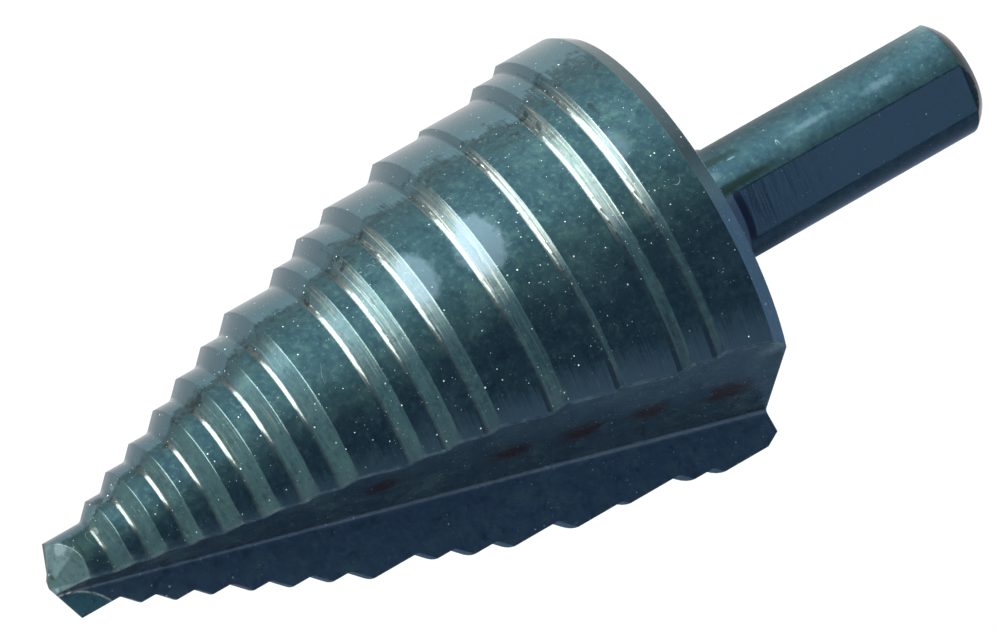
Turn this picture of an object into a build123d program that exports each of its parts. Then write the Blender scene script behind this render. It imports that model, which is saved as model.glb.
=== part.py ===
"""Step drill with fifteen treads: one solid, ground from a single bar of tool steel.

Frame, in millimetres: +Z is the drill's axis and points at the cutting tip. The origin is
the middle of the shank's end face, on which the drill stands. The two cutting edges lie in
the plane y = 0. The edge at -X has its rake face turned to -Y, so the drill cuts right-handed.

The body is two equal halves, one each side of the plane y = 0. A half is the stepped profile
turned through half a circle about a line set a little towards its own cutting edge, so each
tread drops away behind the edge and clears the hole. A straight flute, a V that widens and
deepens towards the rear, takes the back of each half away, and the opposite half's flat side,
laid bare by it, is the rake face.
"""

from build123d import *

import os
from math import cos, radians, sin, tan

# Shank
SHANK_DIAMETER = 9.3
SHANK_LENGTH = 26.4
SHANK_END_CHAMFER = 1.0
SHANK_END_CROWN = 0.06
NECK_LENGTH = 5.2
FLAT_COUNT = 3
FLAT_DEPTH = 0.47
FIRST_FLAT_ANGLE = 8.6

# Treads from the tip to the rear: diameter over the cutting edges, and length of the land.
# The long lands of 22.5, 28.8 and 34.9 mm are finished hole sizes for conduit.
TREADS = [
    (6.2, 3.35),
    (8.5, 1.3),
    (10.75, 1.6),
    (12.7, 1.6),
    (15.2, 1.5),
    (17.6, 1.7),
    (19.9, 1.55),
    (22.5, 3.9),
    (24.65, 1.55),
    (26.85, 2.0),
    (28.8, 3.9),
    (31.05, 4.0),
    (31.9, 4.45),
    (33.6, 1.75),
    (34.9, 3.9),
]
RISER_ANGLE = 45.0
TREAD_ROOT_RADIUS = 0.5
REAR_CHAMFER_LENGTH = 1.2
REAR_CHAMFER_DEPTH = 0.65
LAND_RELIEF = 0.18

# Flutes: a V between the rake face and the heel wall, which leans back by the heel angle
WEB_AT_TIP = 1.2
FLUTE_DEPTH_AT_REAR = 2.45
HEEL_ANGLE_AT_TIP = 8.5
HEEL_ANGLE_AT_REAR = 16.8
ROOT_RADIUS_AT_TIP = 0.3
ROOT_RADIUS_AT_REAR = 0.55

# Point: two lips, each with a narrow flank and a steeper second flank behind it
POINT_ANGLE = 140.0
LIP_CLEARANCE = 12.0
SECOND_CLEARANCE = 42.0
SECOND_FALL_ANGLE = 5.0
SECOND_SET_BACK = 0.03

# Gash that thins the web at the point: the flat side and the rim of a grinding wheel
GASH_WHEEL_RADIUS = 4.0
GASH_DEPTH = 0.06
GASH_TILT = 5.0
GASH_START_RADIUS = 0.52
GASH_START_DROP = 0.62
GASH_SLOPE = 57.4
GASH_CHORD_SHARE = 1 / 3

# Cutting tools reach this far past what they cut
OVERRUN = 2.0


def tread_profile():
    """Corners of the stepped half section as (radius, height), from the rear face to the tip."""
    rear_radius = TREADS[-1][0] / 2
    height = SHANK_LENGTH
    corners = [(rear_radius - REAR_CHAMFER_DEPTH, height)]
    height += REAR_CHAMFER_LENGTH
    corners.append((rear_radius, height))
    for index in range(len(TREADS) - 1, -1, -1):
        diameter, land = TREADS[index]
        height += land
        corners.append((diameter / 2, height))
        if index > 0:
            next_radius = TREADS[index - 1][0] / 2
            height += (diameter / 2 - next_radius) / tan(radians(RISER_ANGLE))
            corners.append((next_radius, height))
    return corners


def rounded_between_treads(section):
    """The half section with a small radius in each corner where a riser meets the next land."""
    corners = tread_profile()
    land_ends = [Vector(radius, 0, height) for radius, height in corners[3:-1:2]]
    roots = [section.vertices().sort_by_distance(end)[0] for end in land_ends]
    return fillet(roots, TREAD_ROOT_RADIUS)


def tip_height():
    """Height of the point: the first land ends at the lips' outer corners, below the point."""
    first_radius = TREADS[0][0] / 2
    return tread_profile()[-1][1] + first_radius / tan(radians(POINT_ANGLE / 2))


def turned_half():
    """The half on the -Y side, with its cutting edge at +X."""
    corners = tread_profile()
    first_radius = corners[-1][0]
    outline = [(LAND_RELIEF, SHANK_LENGTH)]
    outline += corners[:-1]
    outline += [(first_radius, tip_height()), (LAND_RELIEF, tip_height())]
    section = rounded_between_treads(Plane.XZ * make_face(Polyline(*outline, close=True)))
    eccentric_axis = Axis((LAND_RELIEF, 0, 0), (0, 0, -1))
    return revolve(section, eccentric_axis, 180)


def flute_section(height, root_x, heel_angle, root_radius):
    """The flute's V at one height, with its rake side along the plane y = 0."""
    reach = TREADS[-1][0]
    heel_x = root_x + reach * sin(radians(heel_angle))
    heel_y = -reach * cos(radians(heel_angle))
    outline = Polyline((root_x, 0), (heel_x, heel_y), (-reach, heel_y), (-reach, 0), close=True)
    face = make_face(outline)
    root = face.vertices().sort_by_distance((root_x, 0, 0))[0]
    return Pos(0, 0, height) * fillet(root, root_radius)


def flute():
    """The V lofted from below the rear face to above the tip along its sloping root."""
    rear = SHANK_LENGTH
    tip = tip_height()
    rear_root = TREADS[-1][0] / 2 - FLUTE_DEPTH_AT_REAR
    tip_root = WEB_AT_TIP / 2
    root_overrun = OVERRUN * (rear_root - tip_root) / (tip - rear)
    angle_overrun = OVERRUN * (HEEL_ANGLE_AT_REAR - HEEL_ANGLE_AT_TIP) / (tip - rear)
    below = flute_section(
        rear - OVERRUN,
        -rear_root - root_overrun,
        HEEL_ANGLE_AT_REAR + angle_overrun,
        ROOT_RADIUS_AT_REAR,
    )
    above = flute_section(
        tip + OVERRUN,
        -tip_root + root_overrun,
        HEEL_ANGLE_AT_TIP - angle_overrun,
        ROOT_RADIUS_AT_TIP,
    )
    return loft([below, above], ruled=True)


def above_plane(plane):
    """Everything within reach on the far side of a plane."""
    reach = TREADS[-1][0]
    return plane * Box(reach, reach, reach, align=(Align.CENTER, Align.CENTER, Align.MIN))


def point_cuts():
    """The two flanks behind the lip at +X. The other lip's are these turned half round."""
    fall = tan(radians(90 - POINT_ANGLE / 2))
    tip = tip_height()
    first = Plane((0, 0, tip), z_dir=(fall, -tan(radians(LIP_CLEARANCE)), 1))
    second_fall = tan(radians(SECOND_FALL_ANGLE))
    second = Plane(
        (0, 0, tip - SECOND_SET_BACK), z_dir=(second_fall, -tan(radians(SECOND_CLEARANCE)), 1)
    )
    return above_plane(first) + above_plane(second)


def gash():
    """The grinding wheel where it thins the web in the flute at -X."""
    along = Vector(-cos(radians(GASH_SLOPE)), 0, -sin(radians(GASH_SLOPE)))
    towards_lip = Vector(-sin(radians(GASH_SLOPE)), 0, cos(radians(GASH_SLOPE)))
    start = Vector(-GASH_START_RADIUS, GASH_DEPTH, tip_height() - GASH_START_DROP)
    inward = towards_lip * cos(radians(GASH_TILT)) + Vector(0, 1, 0) * sin(radians(GASH_TILT))
    lip_length = TREADS[0][0] / 2 / cos(radians(GASH_SLOPE))
    deepest = start + along * lip_length * GASH_CHORD_SHARE
    centre = deepest + inward * GASH_WHEEL_RADIUS
    face_normal = along.cross(inward)
    wheel_side = Plane(centre, x_dir=along, z_dir=face_normal)
    return wheel_side * Cylinder(
        GASH_WHEEL_RADIUS, TREADS[0][0], align=(Align.CENTER, Align.CENTER, Align.MAX)
    )


def shank():
    """Round bar with a bevelled end and drive flats that stop short of the body."""
    radius = SHANK_DIAMETER / 2
    end_radius = radius - SHANK_END_CHAMFER
    top = SHANK_LENGTH + OVERRUN
    bevel = SagittaArc((end_radius, 0), (radius, SHANK_END_CHAMFER), -SHANK_END_CROWN)
    outline = Polyline((radius, SHANK_END_CHAMFER), (radius, top), (0, top), (0, 0), (end_radius, 0))
    bar = revolve(Plane.XZ * make_face([outline, bevel]), Axis.Z)
    flat_length = SHANK_LENGTH - NECK_LENGTH
    waste = Box(
        SHANK_DIAMETER,
        SHANK_DIAMETER,
        flat_length + OVERRUN,
        align=(Align.MIN, Align.CENTER, Align.MAX),
    )
    seat = Pos(radius - FLAT_DEPTH, 0, flat_length) * waste
    for index in range(FLAT_COUNT):
        bar -= Rot(0, 0, FIRST_FLAT_ANGLE + index * 360 / FLAT_COUNT) * seat
    return bar


def step_drill():
    half = turned_half() - flute()
    half_turn = Rot(0, 0, 180)
    body = half + half_turn * half
    flanks = point_cuts()
    body -= flanks
    body -= half_turn * flanks
    body -= gash()
    body -= half_turn * gash()
    return body + shank()


os.makedirs("parts", exist_ok=True)
drill = step_drill()
export_step(drill, "parts/step_drill.step")
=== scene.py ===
"""Gives the step drill its blued oxide finish and sets it in a white studio."""

from math import cos, pi, radians, sin, tan

import bpy
from mathutils import Matrix, Vector


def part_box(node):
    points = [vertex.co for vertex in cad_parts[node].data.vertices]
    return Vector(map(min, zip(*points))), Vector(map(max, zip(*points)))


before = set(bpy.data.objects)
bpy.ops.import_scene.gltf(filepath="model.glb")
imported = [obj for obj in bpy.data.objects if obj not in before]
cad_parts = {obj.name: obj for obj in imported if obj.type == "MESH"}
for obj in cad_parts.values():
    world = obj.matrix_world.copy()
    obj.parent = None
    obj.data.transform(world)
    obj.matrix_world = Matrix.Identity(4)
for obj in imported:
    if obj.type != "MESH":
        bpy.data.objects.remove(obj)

bl_info = {
    "name": "Step Drill",
    "version": (1, 0, 0),
    "blender": (4, 5, 0),
    "location": "3D Viewport > Sidebar > Step Drill",
    "description": "Oxide finish, wear and studio for a step drill",
    "category": "Object",
}

DRILL = "step_drill"
MM_PER_M = 1000.0
DRILL_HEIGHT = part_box(DRILL)[1].z

# The shank in mm and degrees
SHANK_RADIUS = 4.65
SHANK_LENGTH = 26.4
SHANK_BEVEL = 1.0
FLAT_COUNT = 3
FLAT_LENGTH = 21.2
FIRST_FLAT_ANGLE = 8.6
FLAT_START_WIDTH = 0.6

# Height in mm from where the milling lines start to where they are plain
MILLED_PART = (12.0, 19.0)

# Heights in mm from where the marks of large, or small, treads start to where they are full
LARGE_TREADS = (62.0, 42.0)
SMALL_TREADS = (57.0, 65.0)

# Length below the tip in mm that holds the point's faces, and no riser
POINT_ZONE = 4.2

# How metallic the oxide is where it is clean, and where it is dull
CLEAN_METAL = 0.92
DULL_METAL = 0.5

# Width of the haze at a heel, as a share of the radius
HEEL_HAZE_SHARE = 0.18

# The flute in mm and degrees, at the rear face and at the tip
ROOT_AT_REAR = 15.0
ROOT_AT_TIP = 0.6
HEEL_ANGLE_AT_REAR = 16.8
HEEL_ANGLE_AT_TIP = 8.5

# Middle of the gash's arc, out from the axis and up from the tip, and its radius, in mm
GASH_CENTRE = (4.91, -0.09)
GASH_RADIUS = 3.98

# Tints of the oxide in single places, and painted light and shade in some of them
SMALL_RISER = (0.03, 0.06, 0.068)
# painted highlight: lighter risers on the lit side of the large treads
PAINTED_LIT_RISER = (0.1, 0.125, 0.122)
# painted shade: darker risers on the side turned from the light
PAINTED_SHADED_RISER = (0.012, 0.03, 0.044)
BEHIND_LIP = (0.009, 0.02, 0.025)
GASH = (0.03, 0.085, 0.1)
# painted highlight along the flute roots
PAINTED_ROOT_HIGHLIGHT = (0.042, 0.066, 0.1)
# painted light on the rear faces' heel side and painted shade on their lip side
REAR_PAINTED_LIGHT = (0.1, 0.17, 0.22)
REAR_PAINTED_SHADE = (0.009, 0.014, 0.019)
# painted shade in the riser roots near the heels
HEEL_CORNER_SHADE = (0.016, 0.026, 0.034)
FLAT = (0.052, 0.094, 0.125)
# painted shadow where each drive flat starts
FLAT_START_SHADOW = (0.012, 0.014, 0.034)
NECK = (0.075, 0.11, 0.15)
BEVEL = (0.014, 0.022, 0.028)

# Tints of uneven oxide and of the marks of machining, and a painted highlight on the turning
# lines
LIGHT_PATCH = (0.06, 0.11, 0.12)
DARK_PATCH = (0.012, 0.03, 0.036)
LIGHT_CLOUD = (0.042, 0.082, 0.075)
DARK_CLOUD = (0.007, 0.018, 0.026)
FLECK = (0.07, 0.13, 0.13)
PIT = (0.008, 0.02, 0.026)
TOOL_LINE = (0.03, 0.07, 0.085)
# painted highlight on the turning lines of the lit side
PAINTED_GLINT_LINE = (0.28, 0.31, 0.29)
MILLED = (0.012, 0.022, 0.036)

# Tints of wear and dirt, and two painted highlights
LIP_HAZE = (0.06, 0.108, 0.135)
ROLLED_HEEL = (0.08, 0.125, 0.145)
# painted highlight on the edges of the lit side
PAINTED_EDGE_GLINT = (0.09, 0.125, 0.12)
BEVEL_WEAR = (0.15, 0.16, 0.15)
BURR = (0.3, 0.32, 0.29)
# painted highlight, laid as soft pale patches on the lands and the shank
PAINTED_HIGHLIGHT_HAZE = (0.09, 0.13, 0.16)
BARE = (0.15, 0.2, 0.21)
BURNT = (0.01, 0.017, 0.02)
OLIVE = (0.008, 0.019, 0.017)
RUBBED = (0.1, 0.14, 0.155)
CORNER = (0.06, 0.1, 0.115)

# Wear, dirt and painted highlights in single places, in mm: middle, stretch along each axis,
# radius, softness of the rim, raggedness, colour and strength
SPOTS = (
    # painted highlights on the lands, as soft pale patches
    ((6.6, -12.8, 48.7), (1.2, 1.2, 0.72), 2.4, 0.4, 0.6, PAINTED_HIGHLIGHT_HAZE, 0.6),
    ((6.6, -14.1, 43.6), (1.2, 1.2, 0.82), 2.6, 0.35, 0.6, PAINTED_HIGHLIGHT_HAZE, 0.7),
    ((7.7, -15.5, 31.4), (1.2, 1.2, 0.8), 1.6, 0.5, 0.6, PAINTED_HIGHLIGHT_HAZE, 0.35),
    # point and first treads
    ((2.15, -1.8, 79.4), (0.9, 1.2, 0.8), 0.66, 0.35, 1.6, RUBBED, 0.8),
    ((2.6, -0.9, 79.9), (0.6, 1.0, 1.0), 0.4, 0.6, 0.9, RUBBED, 0.5),
    ((-0.45, -0.45, 80.7), (1.0, 1.0, 1.0), 0.2, 0.5, 1.2, BARE, 0.8),
    ((0.55, -0.5, 80.6), (1.0, 1.0, 1.0), 0.26, 0.7, 0.9, BURNT, 0.7),
    ((1.35, -2.65, 78.2), (1.5, 1.0, 0.3), 0.62, 0.5, 0.8, BURNT, 0.8),
    ((3.75, -1.9, 75.1), (1.0, 1.2, 1.0), 0.55, 0.6, 1.2, BURNT, 0.75),
    ((2.0, -2.55, 76.5), (1.2, 1.0, 0.5), 0.34, 0.4, 1.2, BARE, 0.8),
    ((4.1, -2.1, 73.75), (1.0, 1.0, 0.4), 0.45, 0.4, 0.9, BARE, 0.6),
    ((1.7, -2.6, 77.7), (1.3, 1.3, 1.0), 1.5, 0.6, 0.6, OLIVE, 0.6),
    # rear corners
    ((-11.3, -12.6, 27.6), (0.6, 1.0, 1.0), 1.9, 0.8, 0.8, CORNER, 0.8),
    ((16.0, -4.6, 26.9), (1.0, 1.4, 0.7), 0.9, 0.35, 1.0, BARE, 0.8),
    ((15.6, -6.6, 26.7), (1.0, 1.5, 0.8), 0.7, 0.4, 1.8, BURNT, 0.9),
    ((10.99, -13.46, 30.8), (1.6, 1.0, 0.5), 0.6, 0.5, 1.6, BURNT, 0.6),
    # neck and shank
    ((3.2, -3.4, 22.4), (0.8, 0.8, 6.2), 0.66, 0.6, 0.5, OLIVE, 0.85),
    ((0.9, -4.55, 21.4), (0.8, 0.8, 8.6), 0.62, 0.6, 0.5, OLIVE, 0.9),
    # the pale haze patches on the shank are painted highlights along its lit side
    ((2.1, -4.15, 22.4), (1.0, 1.0, 2.0), 0.62, 0.8, 0.6, PAINTED_HIGHLIGHT_HAZE, 0.35),
    ((2.75, -3.75, 20.2), (0.4, 0.4, 2.2), 0.22, 0.5, 1.0, BARE, 0.5),
    ((2.2, -4.1, 13.6), (0.7, 0.7, 4.5), 0.6, 0.8, 1.2, PAINTED_HIGHLIGHT_HAZE, 0.45),
    ((2.1, -4.15, 7.2), (0.9, 0.9, 3.2), 0.6, 0.8, 1.2, PAINTED_HIGHLIGHT_HAZE, 0.4),
)

# Middle and radius of the rust spots on the heel wall, in mm
RUST_SPOTS = (
    ((-5.65, -6.43, 57.06), 2.1),
    ((-8.27, -6.04, 47.02), 2.2),
    ((-9.55, -6.24, 41.7), 2.4),
    ((-10.68, -6.61, 36.56), 2.1),
    ((-12.28, -6.24, 30.07), 2.5),
)

# The floor: half its side in m, the glow that it is seen with, and the share of its own shade
# that shows through
WHITE = (1.0, 1.0, 1.0, 1.0)
FLOOR_REACH = 3.0
FLOOR_GLOW = 1.03
FLOOR_SHADOW = 0.03

# Lamps: name, turn and rise in degrees, distance, width and height in m, colour, whether the
# drill mirrors it, and the setting that holds its brightness
LAMPS = (
    ("Strip", 54, 27, 0.6, 0.62, 0.6, (1.0, 0.99, 0.93), True, "strip_light"),
    ("Top", 86, 62, 0.8, 0.52, 0.4, (1.0, 0.97, 0.9), True, "top_light"),
    ("Fill", -66, 8, 0.5, 0.3, 0.3, (1.0, 1.0, 1.0), False, "fill_light"),
)

# Point in m that the lamps shine at
LAMPS_AIM = (0.0, 0.0, 0.05)

# Cloths that only reflections see: name, colour and brightness
CLOTHS = {
    "Dim Cloth": ((0.52, 0.68, 0.98), 0.6),
    "Back Cloth": ((0.4, 0.66, 1.0), 0.26),
    "Pale Cloth": ((0.95, 1.0, 0.92), 1.5),
}

# Flags round the drill: name, cloth, inner and outer radius in m, first and last angle in
# degrees, lower and upper height in m
FLAGS = (
    ("Dim Flag", "Dim Cloth", 0.055, 0.055, 4, -112, 0.0, 0.08),
    ("Back Flag", "Back Cloth", 0.055, 0.055, -112, -172, 0.0, 0.08),
    ("Low Flag", "Dim Cloth", 0.0055, 0.055, 4, -172, 0.0002, 0.0002),
    ("Tip Flag", "Pale Cloth", 0.0, 0.027, -180, 180, 0.09, 0.09),
)

# The lit panel: inner and outer radius in m, first, brightest and last angle of its glow and
# its own last angle in degrees, and its height in m
PANEL_REACH = (0.0055, 0.35)
PANEL_GLOW = (4, 60, 130)
PANEL_END = 138
PANEL_HEIGHT = 0.0002
PANEL_COLOUR = (0.86, 1.0, 0.98)

# Brightness of the panel's first and last side
PANEL_SIDES = (1.0, 1.2)


# ---------------------------------------------------------------- properties


def colour_property(name, description, default):
    return bpy.props.FloatVectorProperty(
        name=name,
        description=description,
        default=default,
        subtype="COLOR",
        size=3,
        min=0.0,
        max=1.0,
    )


class StepDrillFinish(bpy.types.PropertyGroup):
    """Colours and wear of the drill's surface."""

    land_colour: colour_property("Lands", "Oxide on the turned lands", (0.016, 0.038, 0.048))
    riser_colour: colour_property("Risers", "Thinner oxide on the risers", (0.03, 0.066, 0.08))
    # burnished roots, laid fully only on the lit side, so also a painted highlight
    root_glint_colour: colour_property("Roots", "Burnished riser roots", (0.09, 0.108, 0.105))
    flute_colour: colour_property("Rake faces", "Oxide on the rake faces", (0.027, 0.05, 0.076))
    wall_colour: colour_property("Heel walls", "Dull oxide on the walls", (0.013, 0.029, 0.048))
    point_colour: colour_property("Point", "Ground oxide on the point", (0.045, 0.08, 0.092))
    shank_colour: colour_property("Shank", "Oxide on the shank", (0.018, 0.042, 0.056))
    haze_colour: colour_property("Haze", "Rubbed haze near heels and lips", (0.06, 0.1, 0.12))
    steel_colour: colour_property("Steel", "Steel under the oxide", (0.42, 0.46, 0.47))
    # soot, which in the hollow corners also serves as painted shade
    soot_and_shade_colour: colour_property("Soot", "Burnt oil in the corners", (0.006, 0.009, 0.011))
    dust_colour: colour_property("Dust", "Pale specks of dust and grit", (0.45, 0.56, 0.54))
    rust_colour: colour_property("Rust", "Rust spots in the flutes", (0.019, 0.0075, 0.005))
    gloss: bpy.props.FloatProperty(
        name="Roughness",
        description="Roughness of the clean oxide",
        default=0.24,
        min=0.05,
        max=1.0,
    )
    edge_radius: bpy.props.FloatProperty(
        name="Edge radius",
        description="Radius of the worn edges and tooled corners",
        default=0.00012,
        min=0.0,
        soft_max=0.001,
        unit="LENGTH",
    )
    heel_radius: bpy.props.FloatProperty(
        name="Heel radius",
        description="Radius of the rubbed heel edges",
        default=0.0006,
        min=0.0,
        soft_max=0.002,
        unit="LENGTH",
    )


class StepDrillStudio(bpy.types.PropertyGroup):
    """Camera, lamps and floor."""

    camera_distance: bpy.props.FloatProperty(
        name="Distance",
        description="Camera to the middle of the view",
        default=0.6358,
        min=0.1,
        unit="LENGTH",
    )
    camera_tilt: bpy.props.FloatProperty(
        name="Tilt",
        description="Height of the camera above the horizon",
        default=radians(16.595),
        subtype="ANGLE",
        unit="ROTATION",
    )
    camera_roll: bpy.props.FloatProperty(
        name="Roll",
        description="Turn of the camera from having the drill point to the left",
        default=radians(29.633),
        subtype="ANGLE",
        unit="ROTATION",
    )
    view_centre: bpy.props.FloatVectorProperty(
        name="View centre",
        description="Point in the middle of the view",
        default=(0.00102, 0.00395, 0.03966),
        subtype="TRANSLATION",
        unit="LENGTH",
    )
    lens: bpy.props.FloatProperty(
        name="Lens",
        description="Focal length on a sensor 36 mm wide",
        default=304.92,
        min=10.0,
    )
    strip_light: bpy.props.FloatProperty(
        name="Strip",
        description="Brightness of the long strip lamp",
        default=13.0,
        min=0.0,
    )
    panel_light: bpy.props.FloatProperty(
        name="Low panel",
        description="Brightness of the lit panel on the floor",
        default=3.9,
        min=0.0,
    )
    top_light: bpy.props.FloatProperty(
        name="Top",
        description="Brightness of the wide lamp overhead",
        default=6.0,
        min=0.0,
    )
    fill_light: bpy.props.FloatProperty(
        name="Fill",
        description="Brightness of the lamp that lights the flute without a reflection",
        default=4.0,
        min=0.0,
    )
    room_light: bpy.props.FloatProperty(
        name="Room",
        description="Brightness of the room's plain light",
        default=0.8,
        min=0.0,
    )


# --------------------------------------------------------------- node helpers


def feed(tree, socket, value):
    """Links another socket to this one, or sets its value."""
    if isinstance(value, bpy.types.NodeSocket):
        tree.links.new(value, socket)
    else:
        socket.default_value = value


def place(tree, kind, settings=None, **inputs):
    """Adds a node with its settings and its inputs, which are named by socket."""
    made = tree.nodes.new(kind)
    for name, value in (settings or {}).items():
        setattr(made, name, value)
    for name, value in inputs.items():
        feed(tree, made.inputs[name.replace("_", " ")], value)
    return made


def calc(tree, operation, *terms, clamp=False):
    made = tree.nodes.new("ShaderNodeMath")
    made.operation = operation
    made.use_clamp = clamp
    for socket, term in zip(made.inputs, terms):
        feed(tree, socket, term)
    return made.outputs[0]


def step(tree, value, low, high):
    """0 where the value is at low, 1 where it is at high, smooth between."""
    made = place(
        tree,
        "ShaderNodeMapRange",
        {"interpolation_type": "SMOOTHSTEP"},
        Value=value,
    )
    feed(tree, made.inputs["From Min"], low)
    feed(tree, made.inputs["From Max"], high)
    return made.outputs["Result"]


def both(tree, *masks):
    product = masks[0]
    for mask in masks[1:]:
        product = calc(tree, "MULTIPLY", product, mask)
    return product


def paint(tree, factor, under, over):
    """Lays one colour over another by a factor."""
    made = tree.nodes.new("ShaderNodeMix")
    made.data_type = "RGBA"
    feed(tree, made.inputs[0], factor)
    feed(tree, made.inputs[6], under)
    feed(tree, made.inputs[7], over)
    return made.outputs[2]


def fade(tree, factor, under, over):
    """Goes from one number to another by a factor."""
    made = tree.nodes.new("ShaderNodeMix")
    made.data_type = "FLOAT"
    feed(tree, made.inputs[0], factor)
    feed(tree, made.inputs[2], under)
    feed(tree, made.inputs[3], over)
    return made.outputs[0]


def noise(tree, vector, scale, detail=2.0, rough=0.5):
    made = place(
        tree,
        "ShaderNodeTexNoise",
        Vector=vector,
        Scale=scale,
        Detail=detail,
        Roughness=rough,
    )
    return made.outputs[0]


def stretched(tree, vector, scale):
    made = place(tree, "ShaderNodeVectorMath", {"operation": "MULTIPLY"})
    feed(tree, made.inputs[0], vector)
    feed(tree, made.inputs[1], scale)
    return made.outputs[0]


def joined(tree, x, y, z):
    return place(tree, "ShaderNodeCombineXYZ", X=x, Y=y, Z=z).outputs[0]


def rgba(colour):
    return (*colour, 1.0)


def empty_material(name):
    """A material without nodes. Returns it with its tree."""
    material = bpy.data.materials.new(name)
    material.use_nodes = True
    material.node_tree.nodes.clear()
    return material, material.node_tree


def put_out(tree, shader):
    output = tree.nodes.new("ShaderNodeOutputMaterial")
    tree.links.new(shader.outputs[0], output.inputs[0])


def new_group(name, inputs, outputs):
    """A shader node group with named sockets. Returns it with its input and output nodes."""
    tree = bpy.data.node_groups.new(name, "ShaderNodeTree")
    for socket_name, socket_type, default in inputs:
        socket = tree.interface.new_socket(socket_name, in_out="INPUT", socket_type=socket_type)
        if default is not None:
            socket.default_value = default
    for socket_name, socket_type in outputs:
        tree.interface.new_socket(socket_name, in_out="OUTPUT", socket_type=socket_type)
    return tree, tree.nodes.new("NodeGroupInput"), tree.nodes.new("NodeGroupOutput")


def use_group(tree, group, **inputs):
    made = tree.nodes.new("ShaderNodeGroup")
    made.node_tree = group
    for name, value in inputs.items():
        feed(tree, made.inputs[name.replace("_", " ")], value)
    return made


# ------------------------------------------------------------ shared effects


def dust_specks():
    """Small pale specks, one in some of the cells of a Voronoi pattern."""
    tree, given, out = new_group(
        "Dust Specks",
        [
            ("Vector", "NodeSocketVector", None),
            ("Scale", "NodeSocketFloat", 1.0),
            ("Share", "NodeSocketFloat", 0.3),
            ("Size", "NodeSocketFloat", 0.15),
        ],
        [("Mask", "NodeSocketFloat")],
    )
    cells = place(
        tree,
        "ShaderNodeTexVoronoi",
        Vector=given.outputs["Vector"],
        Scale=given.outputs["Scale"],
    )
    chance = place(tree, "ShaderNodeSeparateColor", Color=cells.outputs["Color"])
    present = calc(tree, "LESS_THAN", chance.outputs[0], given.outputs["Share"])
    growth = calc(tree, "ADD", chance.outputs[1], 0.35)
    reach = calc(tree, "MULTIPLY", given.outputs["Size"], growth)
    inner = calc(tree, "MULTIPLY", reach, 0.45)
    spot = calc(tree, "SUBTRACT", 1.0, step(tree, cells.outputs["Distance"], inner, reach))
    strength = calc(tree, "ADD", calc(tree, "MULTIPLY", chance.outputs[2], 0.7), 0.3)
    feed(tree, out.inputs["Mask"], both(tree, present, spot, strength))
    return tree


def scratches():
    """Fine broken lines along the first axis of the vector."""
    tree, given, out = new_group(
        "Scratches",
        [
            ("Vector", "NodeSocketVector", None),
            ("Scale", "NodeSocketFloat", 1.0),
            ("Width", "NodeSocketFloat", 0.02),
            ("Share", "NodeSocketFloat", 0.5),
        ],
        [("Mask", "NodeSocketFloat")],
    )
    run = stretched(tree, given.outputs["Vector"], (0.12, 1.0, 1.0))
    field = noise(tree, run, given.outputs["Scale"], 1.0)
    off = calc(tree, "ABSOLUTE", calc(tree, "SUBTRACT", field, 0.5))
    line = calc(tree, "SUBTRACT", 1.0, step(tree, off, 0.0, given.outputs["Width"]))
    coarser = calc(tree, "MULTIPLY", given.outputs["Scale"], 0.6)
    breaks = noise(tree, given.outputs["Vector"], coarser, 2.0)
    limit = calc(tree, "SUBTRACT", 1.0, given.outputs["Share"])
    here = step(tree, breaks, limit, calc(tree, "ADD", limit, 0.08))
    feed(tree, out.inputs["Mask"], both(tree, line, here))
    return tree


def edge_wear():
    """Where edges stick out and corners fall in, with a normal that rounds them."""
    tree, given, out = new_group(
        "Edge Wear",
        [("Radius", "NodeSocketFloat", 0.0002)],
        [
            ("Edge", "NodeSocketFloat"),
            ("Corner", "NodeSocketFloat"),
            ("Normal", "NodeSocketVector"),
        ],
    )
    rounded = place(tree, "ShaderNodeBevel", {"samples": 6}, Radius=given.outputs["Radius"])
    plain = tree.nodes.new("ShaderNodeNewGeometry")
    alike = place(tree, "ShaderNodeVectorMath", {"operation": "DOT_PRODUCT"})
    feed(tree, alike.inputs[0], rounded.outputs[0])
    feed(tree, alike.inputs[1], plain.outputs["Normal"])
    bend = step(tree, alike.outputs["Value"], 0.995, 0.93)
    wide = calc(tree, "MULTIPLY", given.outputs["Radius"], 2.0)
    hollow = place(
        tree,
        "ShaderNodeAmbientOcclusion",
        {"samples": 6, "only_local": True},
        Distance=wide,
    )
    shaded_corner = step(tree, hollow.outputs["AO"], 0.92, 0.55)
    feed(tree, out.inputs["Edge"], both(tree, bend, calc(tree, "SUBTRACT", 1.0, shaded_corner)))
    feed(tree, out.inputs["Corner"], shaded_corner)
    feed(tree, out.inputs["Normal"], rounded.outputs[0])
    return tree


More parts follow.
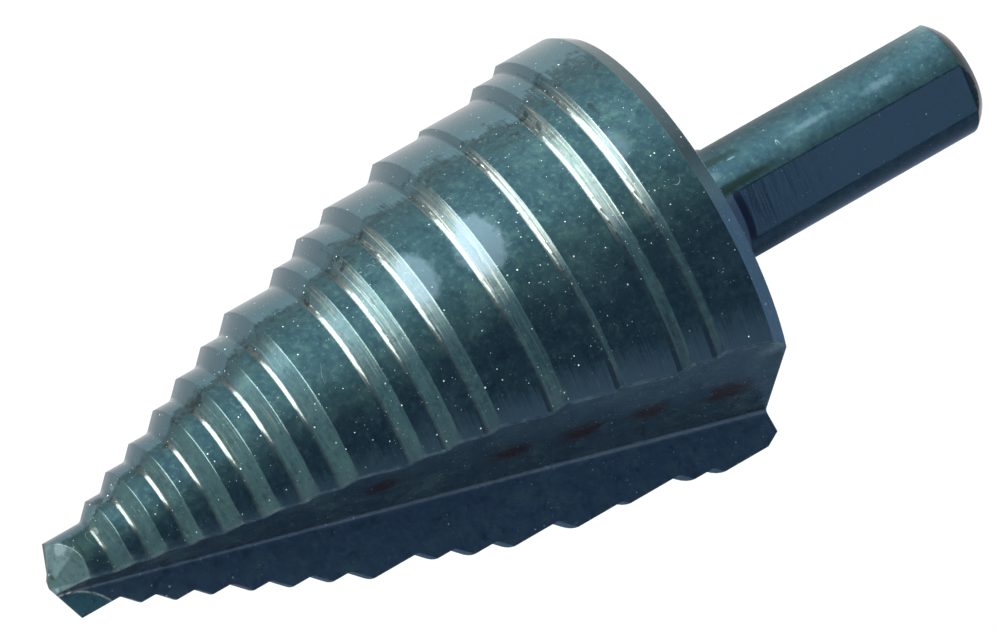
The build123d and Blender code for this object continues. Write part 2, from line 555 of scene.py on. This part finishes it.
def ragged_spot():
    """One round spot with a ragged rim, around a point."""
    tree, given, out = new_group(
        "Ragged Spot",
        [
            ("Vector", "NodeSocketVector", None),
            ("Centre", "NodeSocketVector", None),
            ("Stretch", "NodeSocketVector", (1.0, 1.0, 1.0)),
            ("Radius", "NodeSocketFloat", 1.0),
            ("Softness", "NodeSocketFloat", 0.5),
            ("Raggedness", "NodeSocketFloat", 0.5),
        ],
        [("Mask", "NodeSocketFloat")],
    )
    away = place(tree, "ShaderNodeVectorMath", {"operation": "SUBTRACT"})
    feed(tree, away.inputs[0], given.outputs["Vector"])
    feed(tree, away.inputs[1], given.outputs["Centre"])
    scaled = place(tree, "ShaderNodeVectorMath", {"operation": "DIVIDE"})
    feed(tree, scaled.inputs[0], away.outputs[0])
    feed(tree, scaled.inputs[1], given.outputs["Stretch"])
    length = place(tree, "ShaderNodeVectorMath", {"operation": "LENGTH"})
    feed(tree, length.inputs[0], scaled.outputs[0])
    ripple = calc(tree, "SUBTRACT", noise(tree, given.outputs["Vector"], 1.6, 3.0, 0.6), 0.5)
    wobble = calc(tree, "MULTIPLY", ripple, given.outputs["Raggedness"])
    share = calc(tree, "DIVIDE", length.outputs["Value"], given.outputs["Radius"])
    reach = calc(tree, "ADD", share, wobble)
    inner = calc(tree, "SUBTRACT", 1.0, given.outputs["Softness"])
    feed(tree, out.inputs["Mask"], calc(tree, "SUBTRACT", 1.0, step(tree, reach, inner, 1.0)))
    return tree


# ------------------------------------------------------------ the oxide steel


class Surface:
    """The places on the drill that its finish tells apart, in mm, as sockets in one material.

    Masks are 1 on their place and 0 off it.
    """

    def __init__(self, tree):
        self.tree = tree
        self.tip = DRILL_HEIGHT * MM_PER_M
        self.measure()
        self.find_turned_places()
        self.find_cut_places()

    def measure(self):
        """Where a point is, seen from the drill's axis, its heel walls and its gashes."""
        tree = self.tree
        spot = tree.nodes.new("ShaderNodeTexCoord").outputs["Object"]
        self.place = stretched(tree, spot, (MM_PER_M,) * 3)
        at = place(tree, "ShaderNodeSeparateXYZ", Vector=self.place)
        self.x, self.y, self.z = at.outputs
        self.plain = tree.nodes.new("ShaderNodeNewGeometry").outputs["Normal"]
        self.facing = place(tree, "ShaderNodeSeparateXYZ", Vector=self.plain).outputs
        self.rising = self.facing[2]
        self.radius = self.length(self.x, self.y)
        self.turn = calc(tree, "ARCTAN2", self.y, self.x)
        self.around = joined(tree, calc(tree, "MULTIPLY", self.turn, 8.0), self.z, self.radius)
        self.depth = calc(tree, "ABSOLUTE", self.y)
        own_half = calc(tree, "MULTIPLY", calc(tree, "SIGN", self.y), -1.0)
        self.across = calc(tree, "MULTIPLY", self.x, own_half)
        self.lip_share = calc(tree, "DIVIDE", self.across, self.radius)
        self.heel_gap = self.behind_heel_wall()
        self.gash_gap = self.outside_gash()
        self.lit_side = self.band(self.lip_share, 0.15, 0.8, 0.08)

    def find_turned_places(self):
        """Masks for the shank and for what is turned on the body."""
        tree = self.tree
        self.body = step(tree, self.z, SHANK_LENGTH - 0.1, SHANK_LENGTH)
        self.shank = calc(tree, "SUBTRACT", 1.0, self.body)
        self.near_tip = step(tree, self.z, self.tip - POINT_ZONE, self.tip - POINT_ZONE + 0.1)
        self.outward = self.facing_outward()
        self.in_metal = step(tree, self.heel_gap, 0.1, 0.2)
        self.turned = both(tree, self.body, step(tree, self.outward, 0.93, 0.97), self.in_metal)
        steep = both(tree, self.turned, calc(tree, "SUBTRACT", 1.0, self.near_tip))
        self.riser = both(tree, steep, step(tree, self.rising, 0.62, 0.69))
        leaning = both(
            tree, step(tree, self.rising, 0.04, 0.12), step(tree, self.rising, 0.7, 0.64)
        )
        self.root = both(tree, steep, leaning)
        self.rear = both(tree, self.turned, step(tree, self.rising, -0.1, -0.3))
        self.large = step(tree, self.z, *LARGE_TREADS)
        near_wall = step(tree, calc(tree, "ABSOLUTE", self.heel_gap), 1.1, 0.5)
        away_from_axis = step(tree, calc(tree, "DIVIDE", self.depth, self.radius), 0.55, 0.7)
        self.near_heel = both(tree, near_wall, away_from_axis, self.body)

    def find_cut_places(self):
        """Masks for the flutes, the gashes, the point and the drive flats."""
        tree = self.tree
        in_flute = calc(tree, "SUBTRACT", 1.0, self.in_metal)
        inward = step(tree, self.outward, 0.93, 0.88)
        flute = both(tree, self.body, calc(tree, "MAXIMUM", inward, in_flute))
        self.wall = both(tree, flute, step(tree, self.depth, 0.3, 0.9))
        near_wall = step(tree, calc(tree, "ABSOLUTE", self.heel_gap), 0.6, 0.35)
        self.flute_root = both(tree, flute, self.band(self.depth, 0.04, 0.42, 0.05), near_wall)
        rake_tip = both(tree, flute, self.near_tip, step(tree, self.depth, 0.6, 0.4))
        self.gash = both(tree, rake_tip, step(tree, self.gash_gap, 0.03, -0.03))
        self.burr = both(tree, rake_tip, self.band(self.gash_gap, 0.0, 0.12, 0.04))
        self.point = both(tree, self.near_tip, step(tree, self.rising, 0.3, 0.4))
        over_bevel = step(tree, self.z, SHANK_BEVEL - 0.1, SHANK_BEVEL + 0.1)
        within_bevel = step(tree, self.z, SHANK_BEVEL + 0.1, SHANK_BEVEL - 0.1)
        self.bevel = both(tree, self.shank, within_bevel)
        sunk = step(tree, self.radius, SHANK_RADIUS - 0.02, SHANK_RADIUS - 0.07)
        self.flat = both(tree, self.shank, sunk, over_bevel)
        from_flat = calc(tree, "SUBTRACT", self.turn, radians(FIRST_FLAT_ANGLE))
        swing = calc(tree, "COSINE", calc(tree, "MULTIPLY", from_flat, FLAT_COUNT))
        self.flat_side = step(tree, swing, 0.1, 0.25)

    def length(self, one, other):
        tree = self.tree
        squares = (calc(tree, "MULTIPLY", one, one), calc(tree, "MULTIPLY", other, other))
        return calc(tree, "SQRT", calc(tree, "ADD", *squares))

    def facing_outward(self):
        """1 where the surface faces straight away from the axis, however much it rises."""
        tree = self.tree
        x_part = calc(tree, "MULTIPLY", self.x, self.facing[0])
        y_part = calc(tree, "MULTIPLY", self.y, self.facing[1])
        level = calc(tree, "ADD", self.length(self.facing[0], self.facing[1]), 0.001)
        whole = calc(tree, "MULTIPLY", self.radius, level)
        return calc(tree, "DIVIDE", calc(tree, "ADD", x_part, y_part), whole)

    def behind_heel_wall(self):
        """How far a point lies from the plane of its own half's heel wall, into the metal."""
        tree = self.tree
        above_rear = calc(tree, "SUBTRACT", self.z, SHANK_LENGTH)
        along = calc(tree, "DIVIDE", above_rear, self.tip - SHANK_LENGTH)
        root = fade(tree, along, ROOT_AT_REAR, ROOT_AT_TIP)
        lean_at_rear = tan(radians(HEEL_ANGLE_AT_REAR))
        lean = fade(tree, along, lean_at_rear, tan(radians(HEEL_ANGLE_AT_TIP)))
        wall = calc(tree, "SUBTRACT", calc(tree, "MULTIPLY", self.depth, lean), root)
        return calc(tree, "SUBTRACT", self.across, wall)

    def outside_gash(self):
        """How far a point of the rake face lies outside the rim of the gash."""
        tree = self.tree
        sideways = calc(tree, "SUBTRACT", calc(tree, "ABSOLUTE", self.x), GASH_CENTRE[0])
        upward = calc(tree, "SUBTRACT", self.z, self.tip + GASH_CENTRE[1])
        return calc(tree, "SUBTRACT", self.length(sideways, upward), GASH_RADIUS)

    def band(self, value, low, high, soft):
        """1 where a value lies between two others, with soft sides."""
        tree = self.tree
        return both(
            tree,
            step(tree, value, low - soft, low + soft),
            step(tree, value, high + soft, high - soft),
        )


class OxideSteel:
    """Black-oxide high-speed steel, ground and turned, with workshop wear and painted light and
    shade.

    The colour is built up in coats, each laid over the ones before.
    """

    def __init__(self, finish):
        self.material, self.tree = empty_material("Oxide Steel")
        self.finish = finish
        self.surface = Surface(self.tree)
        self.make_noises()
        self.make_edges()
        self.lay_oxide()
        self.lay_unevenness()
        self.lay_haze()
        self.lay_single_marks()
        self.lay_shank_marks()
        self.lay_edge_wear()
        self.lay_dust()
        self.make_shader()

    def coat(self, colour, *masks):
        """Lays a colour over what is there, by the product of the masks."""
        cover = both(self.tree, *masks)
        self.colour = paint(self.tree, cover, self.colour, rgba(colour))

    def make_noises(self):
        tree = self.tree
        spot = self.surface.place
        self.patches = noise(tree, spot, 0.22, 3.0, 0.55)
        self.mottle = noise(tree, spot, 2.4, 3.0, 0.6)
        self.clouds = noise(tree, spot, 0.75, 4.0, 0.65)
        run = stretched(tree, self.surface.around, (0.25, 7.0, 3.0))
        self.grain = noise(tree, run, 1.0, 3.0, 0.65)

    def make_edges(self):
        """Worn edges all over, and the wider round of the heel edges."""
        tree = self.tree
        surface = self.surface
        self.wear = use_group(tree, edge_wear(), Radius=self.finish.edge_radius)
        self.soft = place(tree, "ShaderNodeBevel", {"samples": 6}, Radius=self.finish.heel_radius)
        alike = place(tree, "ShaderNodeVectorMath", {"operation": "DOT_PRODUCT"})
        feed(tree, alike.inputs[0], self.soft.outputs[0])
        feed(tree, alike.inputs[1], surface.plain)
        bend = step(tree, alike.outputs["Value"], 0.998, 0.93)
        self.rolled = both(tree, bend, surface.near_heel)

    def lay_oxide(self):
        """Each place's own oxide, with painted light and shade on the risers and painted
        highlights on the roots.
        """
        tree = self.tree
        surface = self.surface
        finish = self.finish
        self.colour = rgba(finish.flute_colour)
        self.coat(finish.land_colour, surface.turned)
        self.coat(finish.wall_colour, surface.wall)
        self.coat(finish.riser_colour, surface.riser)
        # painted highlight: the burnished root colour is laid fully only on the lit side
        self.coat(finish.root_glint_colour, surface.root, fade(tree, surface.lit_side, 0.12, 1.0))
        self.coat(SMALL_RISER, surface.riser, step(tree, surface.z, *SMALL_TREADS), 0.85)
        # painted light on the risers of the lit side and painted shade on those of the other side
        self.coat(PAINTED_LIT_RISER, surface.riser, surface.large, surface.lit_side, 0.8)
        shaded_side = step(tree, surface.lip_share, 0.3, 0.0)
        self.coat(PAINTED_SHADED_RISER, surface.riser, shaded_side, fade(tree, surface.large, 0.35, 0.85))
        self.coat(finish.point_colour, surface.point)
        self.coat(BEHIND_LIP, surface.point, step(tree, surface.rising, 0.8, 0.88))
        self.coat(finish.shank_colour, surface.shank)
        self.coat(GASH, surface.gash, 0.9)
        # painted highlight along the flute roots
        self.coat(PAINTED_ROOT_HIGHLIGHT, surface.flute_root, 0.85)

    def lay_unevenness(self):
        """Patches and flecks of thicker and thinner oxide, and the lines left by turning, with
        painted highlights on the lines of the lit side.
        """
        tree = self.tree
        surface = self.surface
        self.coat(LIGHT_PATCH, step(tree, self.patches, 0.5, 0.8), 0.3)
        self.coat(DARK_PATCH, step(tree, self.patches, 0.45, 0.25), 0.3)
        cloud_share = fade(tree, surface.shank, 0.4, 0.2)
        self.coat(LIGHT_CLOUD, step(tree, self.clouds, 0.5, 0.7), cloud_share)
        self.coat(DARK_CLOUD, step(tree, self.clouds, 0.48, 0.32), 0.45)
        self.coat(FLECK, step(tree, self.mottle, 0.5, 0.8), 0.35)
        self.coat(PIT, step(tree, self.mottle, 0.47, 0.25), 0.5)
        self.coat(TOOL_LINE, step(tree, self.grain, 0.55, 0.35), surface.riser, 0.55)
        # painted highlight on the turning lines of the risers and roots on the lit side
        self.coat(
            PAINTED_GLINT_LINE,
            step(tree, self.grain, 0.52, 0.72),
            calc(tree, "MAXIMUM", surface.riser, surface.root),
            fade(tree, surface.large, 0.15, 0.9),
            surface.lit_side,
        )

    def lay_haze(self):
        """Rubbed haze near the heels and the lips, with what borders it, and painted light and
        shade.
        """
        tree = self.tree
        surface = self.surface
        finish = self.finish
        ripple = self.wander(self.grain, 1.1)
        reach = calc(tree, "MULTIPLY", surface.radius, HEEL_HAZE_SHARE)
        gap = calc(tree, "ADD", calc(tree, "DIVIDE", surface.heel_gap, reach), ripple)
        kept_off_risers = fade(tree, surface.riser, 1.0, 0.35)
        self.haze = both(tree, step(tree, gap, 1.05, 0.1), surface.turned, kept_off_risers)
        self.coat(finish.haze_colour, self.haze, fade(tree, surface.large, 0.4, 0.85))
        lip = calc(tree, "ADD", surface.lip_share, calc(tree, "MULTIPLY", ripple, 0.08))
        lip = calc(tree, "ADD", lip, self.wander(self.patches, 0.25))
        lip = calc(tree, "ADD", lip, self.wander(self.clouds, 0.16))
        self.coat(LIP_HAZE, step(tree, lip, 0.83, 0.87), surface.turned, 0.8)
        border = surface.band(lip, 0.77, 0.86, 0.02)
        broken = step(tree, self.clouds, 0.53, 0.6)
        self.coat(finish.soot_and_shade_colour, border, surface.turned, broken, 0.65)
        # painted light and shade on the rear faces: light toward the heel, dark toward the lip
        towards_lip = step(tree, surface.lip_share, -0.1, 0.3)
        rear_light_and_shade = paint(tree, towards_lip, rgba(REAR_PAINTED_LIGHT), rgba(REAR_PAINTED_SHADE))
        self.colour = paint(tree, both(tree, surface.rear, 0.85), self.colour, rear_light_and_shade)
        self.coat(ROLLED_HEEL, self.rolled, step(tree, self.clouds, 0.4, 0.6), 0.5)
        # painted shade in the riser roots near the heels
        shaded_corner = both(tree, surface.root, step(tree, gap, 1.3, 0.5))
        self.coat(HEEL_CORNER_SHADE, shaded_corner, fade(tree, surface.large, 0.2, 0.7))

    def wander(self, field, amount):
        """A noise made to swing round zero."""
        return calc(self.tree, "MULTIPLY", calc(self.tree, "SUBTRACT", field, 0.5), amount)

    def lay_single_marks(self):
        """Rubbed, burnt and rusty spots, painted highlights, and the burr round the gashes."""
        tree = self.tree
        surface = self.surface
        spot = ragged_spot()
        for centre, stretch, radius, soft_rim, ragged, tint, share in SPOTS:
            blot = use_group(
                tree,
                spot,
                Vector=surface.place,
                Centre=centre,
                Stretch=stretch,
                Radius=radius,
                Softness=soft_rim,
                Raggedness=ragged,
            )
            self.coat(tint, blot.outputs[0], share)
        rust = 0.0
        for centre, radius in RUST_SPOTS:
            blot = use_group(
                tree,
                spot,
                Vector=surface.place,
                Centre=centre,
                Radius=radius,
                Softness=0.75,
                Raggedness=1.4,
            )
            rust = calc(tree, "MAXIMUM", rust, blot.outputs[0])
        self.coat(self.finish.rust_colour, rust, surface.wall, 0.92)
        self.coat(BURR, surface.burr, step(tree, self.mottle, 0.4, 0.55), 0.8)

    def lay_shank_marks(self):
        """Milled drive flats with a painted shadow at their start, the neck above them and the
        end bevel.
        """
        tree = self.tree
        surface = self.surface
        self.coat(FLAT, surface.flat, 0.9)
        neck_start = FLAT_LENGTH + FLAT_START_WIDTH
        neck = both(tree, surface.shank, step(tree, surface.z, neck_start, neck_start + 0.1))
        self.coat(NECK, neck, step(tree, surface.lip_share, 0.1, 0.0), 0.85)
        # painted shadow across the start of each drive flat
        start = surface.band(surface.z, FLAT_LENGTH, neck_start, 0.08)
        self.coat(FLAT_START_SHADOW, start, surface.flat_side, 0.8)
        milling = noise(tree, stretched(tree, surface.place, (0.3, 0.3, 9.0)), 1.0, 2.0, 0.6)
        groove = step(tree, milling, 0.5, 0.36)
        self.coat(MILLED, surface.flat, step(tree, surface.z, *MILLED_PART), groove, 0.6)
        self.coat(BEVEL, surface.bevel, 0.7)
        rubbed = step(tree, noise(tree, surface.place, 1.6, 3.0), 0.6, 0.68)
        self.coat(BEVEL_WEAR, surface.bevel, rubbed, 0.4)

    def lay_edge_wear(self):
        """Soot with painted shade in the corners, and bare steel and a painted highlight on the
        edges.
        """
        tree = self.tree
        surface = self.surface
        edge = self.wear.outputs["Edge"]
        # soot with painted shade: the soot colour darkens the hollow corners
        sooty = step(tree, noise(tree, surface.place, 0.5, 3.0), 0.45, 0.7)
        self.coat(
            self.finish.soot_and_shade_colour, self.wear.outputs["Corner"], surface.turned, sooty, 0.5
        )
        broken = step(tree, noise(tree, surface.place, 0.8, 3.0, 0.6), 0.5, 0.68)
        self.coat(self.finish.steel_colour, edge, broken, 0.2)
        # painted highlight on the edges of the lit side
        self.coat(PAINTED_EDGE_GLINT, edge, surface.lit_side, surface.turned, 0.7)

    def lay_dust(self):
        """Specks of two sizes and fine scratches. The fine specks gather in patches."""
        tree = self.tree
        surface = self.surface
        specks = dust_specks()
        fine = use_group(tree, specks, Vector=surface.place, Scale=4.2, Share=0.3, Size=0.17)
        coarse = use_group(tree, specks, Vector=surface.place, Scale=1.6, Share=0.5, Size=0.11)
        gathered = both(tree, fine.outputs[0], step(tree, self.patches, 0.35, 0.6), 0.7)
        all_specks = calc(tree, "MAXIMUM", gathered, coarse.outputs[0])
        self.dust = both(tree, all_specks, fade(tree, surface.turned, 0.35, 1.0))
        self.coat(self.finish.dust_colour, self.dust, 0.8)
        lines = use_group(
            tree, scratches(), Vector=surface.place, Scale=0.55, Width=0.004, Share=0.36
        )
        self.coat(self.finish.dust_colour, lines.outputs[0], 0.3)

    def make_normal(self):
        """Rounded edges with the oxide's grain, the turning lines and the specks on them."""
        tree = self.tree
        height = calc(tree, "MULTIPLY", self.mottle, 0.7)
        height = calc(tree, "ADD", height, both(tree, self.grain, self.surface.riser))
        height = calc(tree, "ADD", height, calc(tree, "MULTIPLY", self.dust, 0.6))
        rounded = tree.nodes.new("ShaderNodeMix")
        rounded.data_type = "VECTOR"
        feed(tree, rounded.inputs[0], self.surface.near_heel)
        feed(tree, rounded.inputs[4], self.wear.outputs["Normal"])
        feed(tree, rounded.inputs[5], self.soft.outputs[0])
        bump = place(
            tree,
            "ShaderNodeBump",
            Strength=0.25,
            Distance=0.00003,
            Height=height,
            Normal=rounded.outputs[1],
        )
        return bump.outputs[0]

    def make_shader(self):
        tree = self.tree
        surface = self.surface
        gloss = self.finish.gloss
        roughness = fade(tree, self.patches, gloss - 0.02, gloss + 0.06)
        roughness = fade(tree, self.haze, roughness, 0.36)
        roughness = fade(tree, surface.root, roughness, 0.17)
        roughness = fade(tree, self.dust, roughness, 0.8)
        dull = calc(tree, "MAXIMUM", surface.wall, surface.flute_root)
        metal = fade(tree, dull, CLEAN_METAL, DULL_METAL)
        metal = fade(tree, self.dust, metal, 0.0)
        shader = tree.nodes.new("ShaderNodeBsdfPrincipled")
        feed(tree, shader.inputs["Base Color"], self.colour)
        feed(tree, shader.inputs["Roughness"], roughness)
        feed(tree, shader.inputs["Metallic"], metal)
        feed(tree, shader.inputs["Normal"], self.make_normal())
        put_out(tree, shader)


# ------------------------------------------------------------------ the stage


def seen_directly(tree):
    """1 for what the camera sees, straight or in a reflection, and 0 for light on its way."""
    path = tree.nodes.new("ShaderNodeLightPath")
    seen = calc(tree, "MAXIMUM", path.outputs["Is Camera Ray"], path.outputs["Is Glossy Ray"])
    return calc(tree, "MAXIMUM", seen, path.outputs["Is Transmission Ray"])


def seen_white(tree, plain_shader, kept):
    """A shader that is seen as white, with a little of the plain one's shadows kept."""
    seen = seen_directly(tree)
    white = place(tree, "ShaderNodeEmission", Color=WHITE, Strength=FLOOR_GLOW)
    mixed = tree.nodes.new("ShaderNodeMixShader")
    feed(tree, mixed.inputs[0], calc(tree, "MULTIPLY", seen, 1.0 - kept))
    tree.links.new(plain_shader.outputs[0], mixed.inputs[1])
    tree.links.new(white.outputs[0], mixed.inputs[2])
    return mixed


def floor_paint():
    material, tree = empty_material("White Floor")
    matt = place(tree, "ShaderNodeBsdfDiffuse", Color=(0.9, 0.9, 0.9, 1.0))
    put_out(tree, seen_white(tree, matt, FLOOR_SHADOW))
    return material


def make_floor():
    side = FLOOR_REACH
    mesh = bpy.data.meshes.new("Floor")
    corners = [(-side, -side, 0.0), (side, -side, 0.0), (side, side, 0.0), (-side, side, 0.0)]
    mesh.from_pydata(corners, [], [(0, 1, 2, 3)])
    floor = bpy.data.objects.new("Floor", mesh)
    bpy.context.collection.objects.link(floor)
    mesh.materials.append(floor_paint())


def sector_mesh(name, inner, outer, start, end, low, high, pieces=48):
    """A flat or upright strip round the drill between two angles. 0 is -Y and 90 is +X."""
    points = []
    faces = []
    for index in range(pieces + 1):
        angle = radians(start + (end - start) * index / pieces)
        for reach, height in ((inner, low), (outer, high)):
            points.append((reach * sin(angle), -reach * cos(angle), height))
        if index:
            first = 2 * index
            faces.append((first - 2, first - 1, first + 1, first))
    mesh = bpy.data.meshes.new(name)
    mesh.from_pydata(points, [], faces)
    return mesh


def make_card(name, mesh, material, shades=True):
    """A piece of the studio that lights or shades the drill and stays out of the picture."""
    card = bpy.data.objects.new(name, mesh)
    mesh.materials.append(material)
    bpy.context.collection.objects.link(card)
    card.visible_camera = False
    card.visible_diffuse = shades
    card.visible_shadow = shades


def panel_glow(brightness, start, peak, end):
    """Light that is brightest part of the way round the panel and falls off to its sides."""
    material, tree = empty_material("Low Panel")
    spot = tree.nodes.new("ShaderNodeTexCoord").outputs["Object"]
    at = place(tree, "ShaderNodeSeparateXYZ", Vector=spot)
    turn = calc(tree, "ARCTAN2", at.outputs[0], calc(tree, "MULTIPLY", at.outputs[1], -1.0))
    first, last = PANEL_SIDES
    climbing = step(tree, turn, radians(start), radians(peak))
    falling = step(tree, turn, radians(peak), radians(end))
    rise = calc(tree, "MULTIPLY", climbing, brightness - first)
    fall = calc(tree, "MULTIPLY", falling, last - brightness)
    strength = calc(tree, "ADD", first, calc(tree, "ADD", rise, fall))
    put_out(tree, place(tree, "ShaderNodeEmission", Color=rgba(PANEL_COLOUR), Strength=strength))
    return material


def cloth(name):
    """An even glow for the cards that the drill's dim sides reflect."""
    material, tree = empty_material(name)
    colour, brightness = CLOTHS[name]
    put_out(tree, place(tree, "ShaderNodeEmission", Color=rgba(colour), Strength=brightness))
    return material


def make_lamp(name, turn, rise, distance, width, height, colour, mirrored, brightness):
    """A soft lamp as bright as its radiance says. Turn 0 is -Y, 90 is +X, rise is from level."""
    light = bpy.data.lights.new(name, "AREA")
    light.shape = "RECTANGLE"
    light.size = width
    light.size_y = height
    light.energy = brightness * width * height * pi
    light.color = colour
    lamp = bpy.data.objects.new(name, light)
    middle = Vector(LAMPS_AIM)
    level = cos(radians(rise))
    direction = Vector(
        (sin(radians(turn)) * level, -cos(radians(turn)) * level, sin(radians(rise)))
    )
    across = Vector((cos(radians(turn)), sin(radians(turn)), 0.0))
    above = direction.cross(across)
    facing = Matrix((across, above, direction)).transposed().to_4x4()
    lamp.matrix_world = Matrix.Translation(middle + direction * distance) @ facing
    lamp.visible_camera = False
    lamp.visible_glossy = mirrored
    bpy.context.collection.objects.link(lamp)


def make_room(brightness):
    world = bpy.data.worlds.new("Room")
    world.use_nodes = True
    tree = world.node_tree
    tree.nodes.clear()
    strength = fade(tree, seen_directly(tree), brightness, 1.0)
    background = place(tree, "ShaderNodeBackground", Color=WHITE, Strength=strength)
    output = tree.nodes.new("ShaderNodeOutputWorld")
    tree.links.new(background.outputs[0], output.inputs[0])
    bpy.context.scene.world = world


def make_camera(studio):
    tilt = studio.camera_tilt
    roll = studio.camera_roll
    down_the_drill = Vector((0.0, -sin(tilt), -cos(tilt)))
    across = Vector((-1.0, 0.0, 0.0))
    back = Vector((0.0, -cos(tilt), sin(tilt)))
    right = cos(roll) * down_the_drill + sin(roll) * across
    up = sin(roll) * down_the_drill - cos(roll) * across
    camera = bpy.data.objects.new("Camera", bpy.data.cameras.new("Camera"))
    camera.data.sensor_width = 36.0
    camera.data.lens = studio.lens
    camera.data.clip_start = 0.01
    turn = Matrix((right, up, back)).transposed().to_4x4()
    spot = Vector(studio.view_centre) + back * studio.camera_distance
    camera.matrix_world = Matrix.Translation(spot) @ turn
    bpy.context.collection.objects.link(camera)
    bpy.context.scene.camera = camera


# ------------------------------------------------------------------ operators


class STEPDRILL_OT_finish(bpy.types.Operator):
    """Puts the oxide finish on the drill"""

    bl_idname = "stepdrill.finish"
    bl_label = "Finish the Drill"

    def execute(self, context):
        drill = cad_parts[DRILL]
        material = OxideSteel(context.scene.stepdrill_finish).material
        for slot in drill.material_slots:
            slot.material = material
        return {"FINISHED"}


class STEPDRILL_OT_studio(bpy.types.Operator):
    """Builds the floor, the lamps and the camera"""

    bl_idname = "stepdrill.studio"
    bl_label = "Build the Studio"

    def execute(self, context):
        studio = context.scene.stepdrill_studio
        make_floor()
        make_room(studio.room_light)
        for *lamp, setting in LAMPS:
            make_lamp(*lamp, getattr(studio, setting))
        panel = sector_mesh(
            "Low Panel", *PANEL_REACH, PANEL_GLOW[0], PANEL_END, PANEL_HEIGHT, PANEL_HEIGHT
        )
        make_card("Low Panel", panel, panel_glow(studio.panel_light, *PANEL_GLOW))
        cloths = {name: cloth(name) for name in CLOTHS}
        for name, cloth_name, *shape in FLAGS:
            make_card(name, sector_mesh(name, *shape), cloths[cloth_name], shades=False)
        make_camera(studio)
        context.scene.view_settings.view_transform = "Standard"
        return {"FINISHED"}


class STEPDRILL_PT_panel(bpy.types.Panel):
    """Lists the steps and their settings"""

    bl_idname = "STEPDRILL_PT_panel"
    bl_label = "Step Drill"
    bl_space_type = "VIEW_3D"
    bl_region_type = "UI"
    bl_category = "Step Drill"

    def draw(self, context):
        for operator, group in (
            (STEPDRILL_OT_finish, context.scene.stepdrill_finish),
            (STEPDRILL_OT_studio, context.scene.stepdrill_studio),
        ):
            box = self.layout.box()
            for name in group.__annotations__:
                box.prop(group, name)
            box.operator(operator.bl_idname)


CLASSES = (
    StepDrillFinish,
    StepDrillStudio,
    STEPDRILL_OT_finish,
    STEPDRILL_OT_studio,
    STEPDRILL_PT_panel,
)


def register():
    for cls in CLASSES:
        bpy.utils.register_class(cls)
    bpy.types.Scene.stepdrill_finish = bpy.props.PointerProperty(type=StepDrillFinish)
    bpy.types.Scene.stepdrill_studio = bpy.props.PointerProperty(type=StepDrillStudio)


def unregister():
    del bpy.types.Scene.stepdrill_studio
    del bpy.types.Scene.stepdrill_finish
    for cls in reversed(CLASSES):
        bpy.utils.unregister_class(cls)


def main():
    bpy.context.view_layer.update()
    register()
    bpy.ops.stepdrill.finish()
    bpy.ops.stepdrill.studio()
    bpy.context.view_layer.update()


if __name__ == "__main__":
    main()
